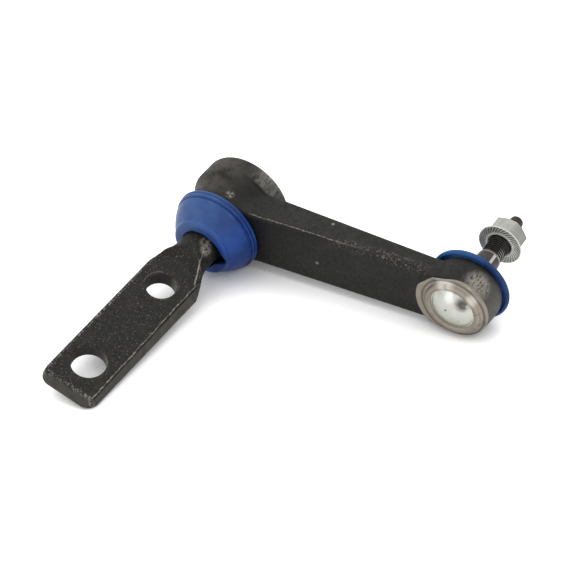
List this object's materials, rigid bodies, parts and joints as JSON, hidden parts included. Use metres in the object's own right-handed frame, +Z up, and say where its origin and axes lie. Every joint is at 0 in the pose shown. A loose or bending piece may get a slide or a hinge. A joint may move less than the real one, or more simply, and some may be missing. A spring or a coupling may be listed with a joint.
{
  "type": "steering idler arm",
  "caption": "Forged steering idler arm: a bolted bracket plate turns in the boss of a tapering arm that carries a sealed ball stud and flange nut.",
  "frame": {"origin": "on the pivot axis, in the plane of the arm's flat front face", "axes": "+X along the arm from the pivot to the ball stud, +Y along the pivot axis from the bracket plate toward the stud's threaded end, +Z up across the arm's width"},
  "size_m": [0.2003, 0.2111, 0.0558],
  "materials": {
    "black_forging": "rough forged and black painted, worn at the edges",
    "blue_rubber": "soft satin blue rubber",
    "zinc": "bright zinc plate",
    "stud_steel": "oiled dark steel",
    "bearing_bronze": "sintered bronze",
    "plain_steel": "bare steel",
    "spring_steel": "blued spring steel",
    "black_rubber": "black nitrile rubber",
    "white_plastic": "natural acetal"
  },
  "bodies": {
    "bracket": {"pivot_bracket": "black_forging", "front_thrust_washer": "plain_steel", "rear_thrust_washer": "plain_steel", "pivot_disc_spring": "spring_steel", "pivot_lock_nut": "plain_steel", "pivot_cotter_pin": "plain_steel"},
    "arm": {"idler_arm": "black_forging", "front_bush": "bearing_bronze", "rear_bush": "bearing_bronze", "pivot_seal": "black_rubber", "end_plug": "plain_steel", "plug_circlip": "spring_steel", "pivot_boot": "blue_rubber", "preload_spring": "spring_steel", "cover_plate": "zinc"},
    "seat": {"front_ball_seat": "white_plastic", "rear_ball_seat": "white_plastic", "ball_boot": "blue_rubber"},
    "stud": {"ball_stud": "stud_steel", "flange_nut": "zinc"}
  },
  "joints": [
    {"name": "arm_pivot", "type": "hinge", "parent": "bracket", "child": "arm", "pos_m": [0, 0, 0], "axis": [0, 1, 0], "continuous": true},
    {"name": "stud_swivel", "type": "hinge", "parent": "arm", "child": "seat", "pos_m": [0.15, 0.0063, 0], "axis": [0, 1, 0], "continuous": true},
    {"name": "stud_tilt", "type": "hinge", "parent": "seat", "child": "stud", "pos_m": [0.15, 0.0063, 0], "axis": [0, 0, 1], "range_deg": [-18, 18], "deforming": ["ball_boot"]}
  ]
}
